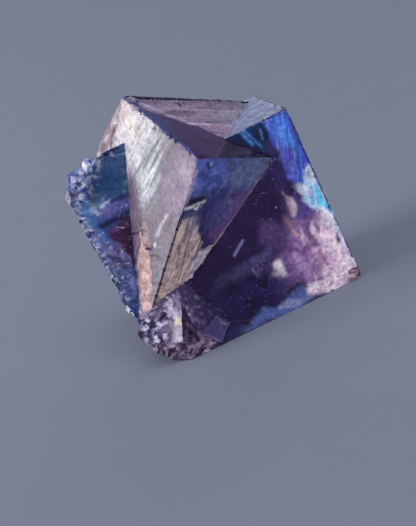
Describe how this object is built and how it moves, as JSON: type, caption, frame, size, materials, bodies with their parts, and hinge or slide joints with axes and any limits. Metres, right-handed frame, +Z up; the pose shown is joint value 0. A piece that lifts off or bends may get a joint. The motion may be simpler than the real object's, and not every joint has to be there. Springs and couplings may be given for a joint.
{
  "type": "twinned fluorite crystal",
  "caption": "Loose specimen of clear violet and blue fluorite: two cubes grown through each other, with small crystals on the edges, standing on a flat base.",
  "frame": {"origin": "middle of the bounding box at the level of the flat base", "axes": "+Z up from the flat base, -Y towards the twin's front corner, +X to the host crystal's right side"},
  "size_m": [0.018, 0.0206, 0.0199],
  "materials": {
    "fluorite": "clear deep violet with blue zones, glassy on the cube faces, frosted and stepped in places"
  },
  "bodies": {
    "root": {"fluorite_crystal": "fluorite"}
  },
  "joints": []
}
